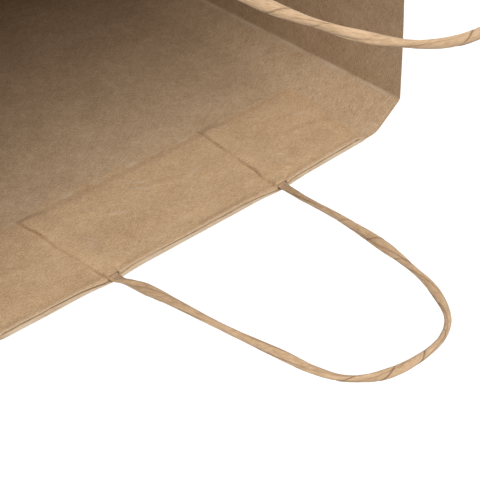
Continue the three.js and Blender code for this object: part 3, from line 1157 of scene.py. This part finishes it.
class PatchShape:
    """The relief of the strip over the cord's ends, and its cut outline."""

    # How far the backing ends inside the strip over it, at the bottom and at both ends.
    BACKING_SHORT = 4.5 * MM

    # From where to where under the rim the strip is drawn close round the cord.
    HUG_START = -8 * MM
    HUG_END = -2 * MM

    # Heights of the puckers that the glue leaves, and the width of the named ones.
    PUCKER_HEIGHT = 0.3 * MM
    FINE_PUCKER_HEIGHT = 0.05 * MM
    PUCKER_WIDTH = 1.6 * MM

    # How far below the rim the unglued top edge stands off the wall, and how far in from the strip's other
    # edges the glue presses it down.
    EDGE_DEPTH = 3 * MM
    GLUED_EDGE = (0.5 * MM, 4 * MM)

    # The painted shadow of the hole round a cord fades between these distances from the cord's middle.
    HOLE_SHADE = (2.2 * MM, 3.6 * MM)

    def __init__(self, scene):
        self.cord_shape = CordShape(scene)
        self.bag = self.cord_shape.bag
        self.patch = scene.gift_bag_patch
        self.sheet = scene.gift_bag_sheet

    def level(self, along, row):
        """The level of a row, which follows the uneven cut at the top and at the bottom."""
        share = (row - PATCH_LOW.z) / PATCH_HEIGHT
        bottom = PATCH_LOW.z + 0.5 * MM * wave(along, 0, 30 * MM, seed=8.4)
        bottom -= self.patch.low_bulge * bell_curve(along + 14 * MM, 30 * MM)
        return mix(bottom, cut_level(along), share)

    def splayed(self, along, row):
        """The strips' ends lean outward a little towards their lower corners."""
        share = (PATCH_TOP - row) / PATCH_HEIGHT
        reach = self.patch.end_splay * share * ease(abs(along), self.patch.right_exit, PATCH_LENGTH / 2)
        return along + math.copysign(reach, along)

    def steep_side(self, side, level):
        """Where the ridge's steep side starts and ends, along the wall, at a level."""
        height = level - BAG_HEIGHT
        shape = self.cord_shape
        wobble = 0.9 * MM * wave(side, level, 10 * MM, seed=4.0 + side)
        wobble += 0.4 * MM * wave(side, level, 4 * MM, seed=7.0)
        start = shape.leg_middle(side, height) - shape.half_width(height)
        start -= self.patch.step_width + (0.5 * MM + wobble) * (1 - self.hug(height))
        return start, start + self.patch.step_width

    @staticmethod
    def hug(height):
        """How closely the strip is drawn round the cord: wholly at its top edge, not at all lower down."""
        return ease(height, PatchShape.HUG_START, PatchShape.HUG_END)

    def ridge(self, along, level):
        """How far the strip is lifted off the backing by the cord's ends."""
        height = level - BAG_HEIGHT
        shape = self.cord_shape
        hug = self.hug(height)
        fade = mix(0.35, 1, ease(level - PATCH_LOW.z, 0, self.patch.end_short + 1 * MM))
        top = shape.layer(height) + shape.half_thickness(height) + 0.04 * MM
        top -= 2 * (self.sheet.paper + self.sheet.glue)
        half = shape.half_width(height)
        lift = 0.0
        for side in (-1, 1):
            start, end = self.steep_side(side, level)
            middle = shape.leg_middle(side, height)
            if along < middle:
                shoulder = mix(0.75, 1, ease(along, end, middle))
                share = ease(along, start, end) * mix(shoulder, 1, hug)
            else:
                slope = mix(self.patch.slope_width, 1.3 * MM, hug)
                share = 1 - ease(along - middle, half * mix(0.3, 0.85, hug), half + slope)
            lift = max(lift, top * share * fade)
        return lift

    def edge_stand(self, along, level):
        """How far the strip's unglued top edge stands off the wall, more in some places than in others."""
        from_top = PATCH_TOP - level
        ripple = clamp(0.55 + 0.9 * wave(along, 0, 30 * MM, seed=17.0), 0.1, 1)
        return self.patch.edge_lift * ripple * (1 - ease(from_top, 0, self.EDGE_DEPTH))

    def cockle(self, along, level):
        """Small puckers from the glue."""
        slow = wave(along, level * 1.6, 18 * MM, seed=11.0)
        fine = wave(along, level, 6 * MM, seed=13.0)
        relief = self.PUCKER_HEIGHT * max(0.0, slow) + self.FINE_PUCKER_HEIGHT * (fine + 1)
        for *mark, height in PUCKERS:
            relief += height * stroke(along, BAG_HEIGHT - level, mark, self.PUCKER_WIDTH)
        return relief

    def settle(self, along, level):
        """Zero at the strip's lower edge and ends, where it is glued down hard, and one inside them."""
        from_end = PATCH_LENGTH / 2 - abs(along)
        return min(ease(level - PATCH_LOW.z, *self.GLUED_EDGE), ease(from_end, *self.GLUED_EDGE))

    def cover_point(self, along, row):
        level = self.level(along, row)
        layer = self.sheet.paper + self.sheet.glue
        settled = self.settle(along, level)
        lift = max(self.ridge(along, level), self.edge_stand(along, level) * settled)
        depth = layer * (1 + settled) + lift + self.cockle(along, level) * settled
        depth -= self.patch.press * (1 - settled)
        return self.bag.wall(self.splayed(along, row), level, depth), self.cover_tone(along, level)

    def cover_tone(self, along, level):
        """Painted shade at the foot of each ridge's steep side and painted shadow round the holes that the
        cords leave. Pale where the paper is rubbed, in flecks along the lower edge, and as a painted
        highlight along the cut top edge."""
        height = level - BAG_HEIGHT
        near_top = ease(level - cut_level(along), -0.7 * MM, -0.1 * MM)
        dark = 0.0
        for side in (-1, 1):
            foot, top = self.steep_side(side, level)
            off = abs(along - self.cord_shape.leg_middle(side, height))
            shown = clamp(0.6 + 0.9 * wave(side * 3, level, 12 * MM, seed=21.0), 0.15, 1)
            # Painted shade at the foot of the ridge's steep side.
            dark = max(dark, shown * self.patch.crease_shade * bell_curve(along - (foot + top) / 2, 0.4 * MM))
            # Painted shadow round the hole that the cord leaves.
            dark = max(dark, 0.75 * near_top * (1 - ease(off, *self.HOLE_SHADE)))
        if dark > 0.02:
            return dark
        rubbed = max(stroke(along, -height, mark, 0.7 * MM) for mark in SCUFFS)
        near_bottom = 1 - ease(level - PATCH_LOW.z, -0.5 * MM, 1.6 * MM)
        low_edge = near_bottom * wave(along, level, 7 * MM, seed=41.0)
        # Painted highlight just under the cut top edge.
        top_edge = ease(level - cut_level(along), -0.5 * MM, -0.1 * MM)
        return -clamp(0.55 * rubbed + 1.1 * max(0.0, low_edge) + 0.6 * top_edge)

    def backing_point(self, along, row):
        """The backing ends short of the strip over it, and hardly so along the top."""
        share = (row - PATCH_LOW.z) / PATCH_HEIGHT
        level = mix(PATCH_LOW.z + self.BACKING_SHORT, cut_level(along) - 0.3 * MM, share)
        inner = along * (1 - self.BACKING_SHORT / (PATCH_LENGTH / 2))
        return self.bag.wall(self.splayed(inner, row), level, self.sheet.paper + self.sheet.glue), 0.0


class GIFTBAG_OT_patches(Operator):
    """Make both paper strips of each handle patch"""

    bl_idname = "giftbag.patches"
    bl_label = "Handle patches"

    def execute(self, context):
        shape = PatchShape(context.scene)
        leg = (shape.patch.left_exit + shape.patch.right_exit) / 2
        reach = 11 * MM
        stretches = [(leg - reach, 1.2 * MM), (leg + reach, 0.4 * MM), (PATCH_LENGTH / 2, 1.2 * MM)]
        columns = mirrored(spans(0, stretches))
        rows = spans(PATCH_LOW.z, [(PATCH_TOP - 8 * MM, 0.9 * MM), (PATCH_TOP, 0.35 * MM)])
        coarse_columns = mirrored(spans(0, [(PATCH_LENGTH / 2, 2.5 * MM)]))
        coarse_rows = spans(PATCH_LOW.z, [(PATCH_TOP, 2.5 * MM)])
        papers = strip_papers(context.scene.gift_bag_colours)
        strips = (
            ("cover_strip", "inner_strip", shape.cover_point, columns, rows),
            ("backing_strip", "outer_strip", shape.backing_point, coarse_columns, coarse_rows),
        )
        for half, half_turn in HALVES:
            for name, node, place, strip_columns, strip_rows in strips:
                mesh = grid_mesh(f"{half}_{name}", strip_columns, strip_rows, place)
                strip = link_object(f"{half}_{name}", mesh, papers, half_turn)
                thicken(strip, context.scene.gift_bag_sheet.paper)
                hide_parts(f"{half}_patch_{node}")
                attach(strip, "bag")
        return {"FINISHED"}


# ---------------------------------------------------------------------------------------------------
# Body
# ---------------------------------------------------------------------------------------------------


class GIFTBAG_OT_body(Operator):
    """Make the folded body: the walls, the gussets and the seam flap as one sheet of paper"""

    bl_idname = "giftbag.body"
    bl_label = "Folded body"

    def execute(self, context):
        sheet = context.scene.gift_bag_sheet
        shape = BagShape(sheet)
        columns = self.columns(shape)
        fold = sheet.fold_round * math.pi / 2
        rows = spans(
            0,
            [
                (fold, 0.4 * MM),
                (shape.crease_height - 2 * MM, 3 * MM),
                (shape.crease_height + 6 * MM, 1 * MM),
                (PATCH_TOP - 2 * MM, 3 * MM),
                (BAG_HEIGHT, 0.25 * MM),
            ],
        )

        def place(s, row):
            share = ease(row, BAG_HEIGHT * 0.9, BAG_HEIGHT)
            level = row + share * (0.2 * MM * wave(s, 0, 50 * MM, seed=7.7) - 0.2 * MM)
            return shape.rolled(s, level), shape.tone(s, row)

        mesh = grid_mesh("folded_body", columns, rows, place)
        papers = body_papers(context.scene.gift_bag_colours)
        body = link_object("folded_body", mesh, papers)
        thicken(body, sheet.paper)
        gusset_halves = [
            f"{side}_gusset_{half}_half" for side in ("left", "right") for half in ("front", "back")
        ]
        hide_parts("front_wall", "back_wall", "side_seam_flap", *gusset_halves)
        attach(body, "bag")
        return {"FINISHED"}

    @staticmethod
    def columns(shape):
        """Distances round the sheet, close together at its creases and where the walls turn."""
        corners = shape.corners()
        reach = shape.sheet.corner_round
        bend_start = BAG_WIDTH / 2 - shape.sheet.flat_half
        bend_end = bend_start - shape.sheet.wall_bend
        stretches = [(corners[0] - reach, 3 * MM), (corners[0] + reach, 0.4 * MM)]
        for start, end, wide in zip(corners, corners[1:], (False, False, True, False, False, True)):
            if wide:
                stretches += [(start + bend_end, 2.5 * MM), (start + bend_start, 1 * MM)]
                stretches += [(end - bend_start, 3 * MM), (end - bend_end, 1 * MM)]
            last = end == corners[-1]
            stretches.append((end - (0.6 * MM if last else reach), 2.5 * MM))
            if not last:
                stretches.append((end + reach, 0.4 * MM))
        return spans(-SEAM_WIDTH, stretches)


class GIFTBAG_OT_bottom(Operator):
    """Make the four flaps that are folded and glued into the block bottom"""

    bl_idname = "giftbag.bottom"
    bl_label = "Block bottom"

    # How high and how wide the folded sides of the long flaps are rolled, the height of the flaps' slow
    # ripples, and the distance from a flap's fold over which they start.
    ROLL_HEIGHT = 0.25 * MM
    ROLL_WIDTH = 0.8 * MM
    RIPPLE = 0.08 * MM
    FLAT_START = 6 * MM

    def execute(self, context):
        sheet = context.scene.gift_bag_sheet
        layer = sheet.paper + sheet.glue
        long_half = BAG_WIDTH / 2 - sheet.fold_round
        tip_half = BAG_WIDTH / 2 - FLAP_LENGTH
        crease = BAG_DEPTH / 2 - sheet.fold_round
        reach = FLAP_LENGTH - sheet.fold_round

        def long_flap(level):
            def place(across, inward):
                half = mix(long_half, tip_half, inward / reach)
                x = across / long_half * half
                roll = ease(abs(x), half - self.ROLL_WIDTH, half)
                ripple = self.RIPPLE * (1 + wave(x, inward, 20 * MM, seed=5.5 + level / MM))
                height = level + self.ROLL_HEIGHT * roll**2 + ripple * ease(inward, 0, self.FLAT_START)
                return Vector((x, inward - crease, height)), 0.0

            return place

        def side_flap(level):
            def place(across, inward):
                ripple = self.RIPPLE * (1 + wave(across, inward, 20 * MM, seed=1.5))
                x = BAG_WIDTH / 2 - sheet.fold_round - inward
                return Vector((x, across, level + ripple * ease(inward, 0, self.FLAT_START))), 0.0

            return place

        wide = mirrored(spans(0, [(long_half - 3 * MM, 3 * MM), (long_half, 0.4 * MM)]))
        narrow = mirrored(spans(0, [(crease, 3 * MM)]))
        inward = spans(0, [(reach, 2.5 * MM)])
        flaps = (
            ("back", long_flap(0.0), wide, True),
            ("front", long_flap(layer), wide, False),
            ("right", side_flap(2 * layer + self.ROLL_HEIGHT), narrow, False),
            ("left", side_flap(2 * layer + self.ROLL_HEIGHT), narrow, True),
        )
        papers = body_papers(context.scene.gift_bag_colours)
        for name, place, columns, half_turn in flaps:
            mesh = grid_mesh(f"{name}_bottom_flap", columns, inward, place)
            if name in ("front", "back"):
                mesh.flip_normals()
            flap = link_object(f"{name}_bottom_flap", mesh, papers, half_turn)
            thicken(flap, sheet.paper)
            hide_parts(f"bottom_{name}_flap")
            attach(flap, "bag")
        return {"FINISHED"}


# ---------------------------------------------------------------------------------------------------
# Panel and registration
# ---------------------------------------------------------------------------------------------------


OPERATORS = (
    GIFTBAG_OT_stage,
    GIFTBAG_OT_cords,
    GIFTBAG_OT_glued_ends,
    GIFTBAG_OT_patches,
    GIFTBAG_OT_body,
    GIFTBAG_OT_bottom,
)


class GIFTBAG_PT_pieces(Panel):
    """Lists the operators that make the gift bag"""

    bl_idname = "GIFTBAG_PT_pieces"
    bl_label = "Gift Bag"
    bl_space_type = "VIEW_3D"
    bl_region_type = "UI"
    bl_category = "Gift Bag"

    def draw(self, context):
        for operator in OPERATORS:
            self.layout.operator(operator.bl_idname)


CLASSES = (*SETTINGS.values(), *OPERATORS, GIFTBAG_PT_pieces)


def register():
    for cls in CLASSES:
        bpy.utils.register_class(cls)
    for name, cls in SETTINGS.items():
        setattr(bpy.types.Scene, name, PointerProperty(type=cls))


def unregister():
    for name in SETTINGS:
        delattr(bpy.types.Scene, name)
    for cls in reversed(CLASSES):
        bpy.utils.unregister_class(cls)


def main():
    register()
    bpy.ops.giftbag.stage()
    bpy.ops.giftbag.cords()
    bpy.ops.giftbag.glued_ends()
    bpy.ops.giftbag.patches()
    bpy.ops.giftbag.body()
    bpy.ops.giftbag.bottom()


if __name__ == "__main__":
    main()
